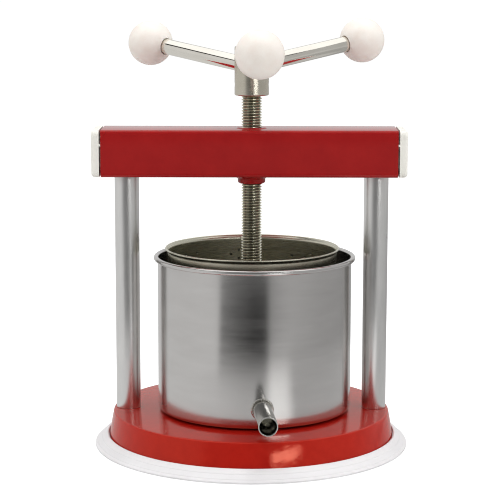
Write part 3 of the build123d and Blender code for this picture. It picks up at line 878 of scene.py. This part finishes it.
# ---------------------------------------------------------------- CAD pieces that stay
KEPT = {
    "base_bolts": FASTENER, "base_washers": FASTENER, "column_inserts": FASTENER, "beam_bolts": FASTENER,
    "beam_washers": FASTENER, "end_cap_left": WHITE_CAP, "end_cap_right": WHITE_CAP, "basket_floor": PLATE,
    "plate_rivets": FASTENER, "plate_grub_screws": FASTENER, "hub_pin": FASTENER,
}
for node, material in KEPT.items():
    nodes[node].data.materials.clear()
    nodes[node].data.materials.append(material)


# ---------------------------------------------------------------- studio
def ramp(tree, value, stops):
    """Grey levels by angle, in degrees from the front, growing to the right."""
    node = add(tree, "ShaderNodeValToRGB")
    elements = node.color_ramp.elements
    while len(elements) < len(stops):
        elements.new(0.5)
    for element, (angle, level) in zip(elements, stops):
        element.position = (angle + 180) / 360
        element.color = (level, level, level, 1)
    tree.links.new(value, node.inputs["Fac"])
    return node.outputs["Color"]


def bearing(tree, vector):
    """Angle about the upright axis, 0.5 at the front."""
    parts = add(tree, "ShaderNodeSeparateXYZ")
    tree.links.new(vector, parts.inputs[0])
    turn = add(tree, "ShaderNodeMath", operation="ARCTAN2")
    flip = add(tree, "ShaderNodeMath", operation="MULTIPLY")
    flip.inputs[1].default_value = -1
    tree.links.new(parts.outputs["Y"], flip.inputs[0])
    tree.links.new(parts.outputs["X"], turn.inputs[0])
    tree.links.new(flip.outputs["Value"], turn.inputs[1])
    return remap(tree, turn.outputs["Value"], 0.0, 1.0, -math.pi, math.pi)


def smooth_step(tree, value, start, end):
    edge = add(tree, "ShaderNodeMapRange", interpolation_type="SMOOTHSTEP")
    edge.inputs["From Min"].default_value = start
    edge.inputs["From Max"].default_value = end
    tree.links.new(value, edge.inputs["Value"])
    return edge.outputs["Result"]


# What polished metal sees of the floor, by angle: the lit table near the press, and two rings further out.
# Every list of (angle, level) below is read by ramp.
NEAR = [
    (-180, 0.70), (-60, 0.72), (-30, 0.68), (-10, 0.60), (11, 0.58), (18, 1.2), (33, 1.1), (42, 0.50),
    (180, 0.60),
]
FAR = [
    (-180, 0.66), (-60, 0.70), (-40, 0.72), (-37, 0.20), (-15, 0.07), (0, 0.0), (13, 0.0), (18, 0.34),
    (34, 0.44), (42, 0.48), (75, 0.42), (110, 0.40), (140, 0.34), (180, 0.50),
]
DISTANT = [
    (-180, 0.66), (-60, 0.68), (-42, 0.56), (-23, 0.36), (-5, 0.34), (12, 0.38), (30, 0.54), (60, 0.58),
    (90, 0.50), (134, 0.40), (180, 0.50),
]
FLOOR_REACH = 40.0
FLOOR_DROP = 0.0002
FLOOR_LIFT = 0.58


def floor_material():
    """White to the camera, evenly pale to diffuse light, and the rings above to polished metal."""
    mat, tree, shader = graph("floor")
    shader.inputs["Base Color"].default_value = (0.74, 0.74, 0.74, 1)
    shader.inputs["Roughness"].default_value = 0.9
    shader.inputs["Specular IOR Level"].default_value = 0.0
    coords = add(tree, "ShaderNodeTexCoord")
    angle = bearing(tree, coords.outputs["Object"])
    distance = add(tree, "ShaderNodeVectorMath", operation="LENGTH")
    tree.links.new(coords.outputs["Object"], distance.inputs[0])
    past_table = smooth_step(tree, distance.outputs["Value"], 0.43, 0.52)
    past_far = smooth_step(tree, distance.outputs["Value"], 1.05, 1.30)
    seen = mix_colours(tree, past_table, ramp(tree, angle, NEAR), ramp(tree, angle, FAR))
    seen = mix_colours(tree, past_far, seen, ramp(tree, angle, DISTANT))
    mirrored = add(tree, "ShaderNodeEmission", Strength=1.0)
    tree.links.new(seen, mirrored.inputs["Color"])
    lift = add(tree, "ShaderNodeEmission", Strength=FLOOR_LIFT, Color=(1, 1, 1, 1))
    lit = add(tree, "ShaderNodeAddShader")
    tree.links.new(shader.outputs["BSDF"], lit.inputs[0])
    tree.links.new(lift.outputs["Emission"], lit.inputs[1])
    rays = add(tree, "ShaderNodeLightPath")
    plain = add(tree, "ShaderNodeMixShader")
    tree.links.new(rays.outputs["Is Camera Ray"], plain.inputs["Fac"])
    tree.links.new(shader.outputs["BSDF"], plain.inputs[1])
    tree.links.new(lit.outputs["Shader"], plain.inputs[2])
    choice = add(tree, "ShaderNodeMixShader")
    tree.links.new(rays.outputs["Is Glossy Ray"], choice.inputs["Fac"])
    tree.links.new(plain.outputs["Shader"], choice.inputs[1])
    tree.links.new(mirrored.outputs["Emission"], choice.inputs[2])
    tree.links.new(choice.outputs["Shader"], tree.nodes["Material Output"].inputs["Surface"])
    return mat


floor_mesh = bpy.data.meshes.new("floor")
floor_mesh.from_pydata([
    (-FLOOR_REACH, -FLOOR_REACH, 0), (FLOOR_REACH, -FLOOR_REACH, 0), (FLOOR_REACH, FLOOR_REACH, 0),
    (-FLOOR_REACH, FLOOR_REACH, 0),
], [], [(0, 1, 2, 3)])
floor_mesh.materials.append(floor_material())
floor = bpy.data.objects.new("floor", floor_mesh)
floor.location.z = -FLOOR_DROP
bpy.context.scene.collection.objects.link(floor)


def reflected_only(name, mesh, material):
    """Stage piece that only reflections see."""
    mesh.materials.append(material)
    obj = bpy.data.objects.new(name, mesh)
    bpy.context.scene.collection.objects.link(obj)
    for kind in ("camera", "diffuse", "shadow", "transmission", "volume_scatter"):
        setattr(obj, "visible_" + kind, False)


def glowing(name, stops, strength=1.0):
    mat, tree, shader = graph(name)
    coords = add(tree, "ShaderNodeTexCoord")
    glow = add(tree, "ShaderNodeEmission", Strength=strength)
    tree.links.new(ramp(tree, bearing(tree, coords.outputs["Object"]), stops), glow.inputs["Color"])
    tree.links.new(glow.outputs["Emission"], tree.nodes["Material Output"].inputs["Surface"])
    return mat


def screen(name, start, end, radius, low, high, material):
    """An upright curved screen; angles are from the front, growing to the right."""
    mesh = bpy.data.meshes.new(name)
    verts = []
    steps = max(2, int(abs(end - start) / 3))
    for k in range(steps + 1):
        a = math.radians(start + (end - start) * k / steps)
        for z in (low, high):
            verts.append((radius * math.sin(a), -radius * math.cos(a), z))
    mesh.from_pydata(verts, [], [(2 * k, 2 * k + 2, 2 * k + 3, 2 * k + 1) for k in range(steps)])
    reflected_only(name, mesh, material)


CEILING_HEIGHT = 2.3


def ceiling(name, left, right, front, back, level):
    """A level panel of one grey over the press."""
    mesh = bpy.data.meshes.new(name)
    corners = [(left, front), (right, front), (right, back), (left, back)]
    mesh.from_pydata([(x, y, CEILING_HEIGHT) for x, y in corners], [], [(0, 1, 2, 3)])
    reflected_only(name, mesh, glowing(name, [(0, level), (90, level)]))


WALLS = [
    (-180, 0.70), (-60, 0.72), (-44, 0.62), (-34, 0.30), (-15, 0.20), (0, 0.17), (15, 0.17), (22, 0.28),
    (40, 0.48), (80, 0.50), (180, 0.66),
]
STRIP = [(0, 0.0), (15, 0.2), (18, 1.0), (36, 1.0), (41, 0.3), (42, 0.0)]
screen("screen_room", -150, 150, 7.0, 0.0, 13.0, glowing("room", WALLS))
screen("screen_strip", 15, 41, 6.0, 1.38, 1.68, glowing("strip", STRIP, 8.2))
ceiling("ceiling_back", -2.2, 2.2, -1.0, 3.0, 1.25)
ceiling("ceiling_left", -3.2, -2.2, -1.5, 3.0, 0.0)
ceiling("ceiling_edge", -2.2, 2.2, -1.5, -1.0, 0.06)

WORLD_LEVEL = 0.62
WORLD_CAMERA_LIFT = 0.42
WORLD_GLOSSY_LIFT = 0.04


def multiply_add(tree, value, factor):
    node = add(tree, "ShaderNodeMath", operation="MULTIPLY_ADD")
    node.inputs[1].default_value = factor
    tree.links.new(value, node.inputs[0])
    return node


world = bpy.data.worlds.new("studio")
bpy.context.scene.world = world
world.use_nodes = True
tree = world.node_tree
background = tree.nodes["Background"]
background.inputs["Color"].default_value = (1, 1, 1, 1)
rays = add(tree, "ShaderNodeLightPath")
to_camera = multiply_add(tree, rays.outputs["Is Camera Ray"], WORLD_CAMERA_LIFT)
to_camera.inputs[2].default_value = WORLD_LEVEL
to_gloss = multiply_add(tree, rays.outputs["Is Glossy Ray"], WORLD_GLOSSY_LIFT)
tree.links.new(to_camera.outputs["Value"], to_gloss.inputs[2])
tree.links.new(to_gloss.outputs["Value"], background.inputs["Strength"])

LIGHT_TARGET = Vector((0, 0, 0.18))


def area(name, place, size, power):
    """Soft light aimed at the press, which leaves no mirror image of its own."""
    data = bpy.data.lights.new(name, "AREA")
    data.shape = "RECTANGLE"
    data.size, data.size_y = size
    data.energy = power
    obj = bpy.data.objects.new(name, data)
    obj.location = place
    obj.rotation_euler = (LIGHT_TARGET - Vector(place)).to_track_quat("-Z", "Y").to_euler()
    obj.visible_glossy = False
    bpy.context.scene.collection.objects.link(obj)


area("light_top", (0.0, 0.0, 2.2), (1.8, 1.8), 24)
area("light_left", (-1.7, -1.0, 1.1), (1.2, 1.2), 7)
area("light_right", (1.7, -0.8, 0.8), (0.8, 1.2), 8)

scene = bpy.context.scene
scene.view_settings.view_transform = "Standard"
scene.view_settings.look = "None"
scene.view_settings.exposure = 0.0
scene.view_settings.gamma = 1.0
scene.cycles.filter_width = 1.1

# ---------------------------------------------------------------- camera
CAMERA_PLACE = (0.0, -1.61056, 0.43886)
CAMERA_PITCH = math.radians(9.081)
CAMERA_ROLL = math.radians(0.109)
CAMERA_YAW = math.radians(-0.046)
lens = bpy.data.cameras.new("camera")
lens.sensor_width = 36.0
lens.lens = 126.574
lens.clip_end = 200.0
camera = bpy.data.objects.new("camera", lens)
camera.matrix_world = (
    Matrix.Translation(CAMERA_PLACE)
    @ Matrix.Rotation(-CAMERA_YAW, 4, "Z")
    @ Matrix.Rotation(math.radians(90) - CAMERA_PITCH, 4, "X")
    @ Matrix.Rotation(CAMERA_ROLL, 4, "Z")
)
scene.collection.objects.link(camera)
scene.camera = camera
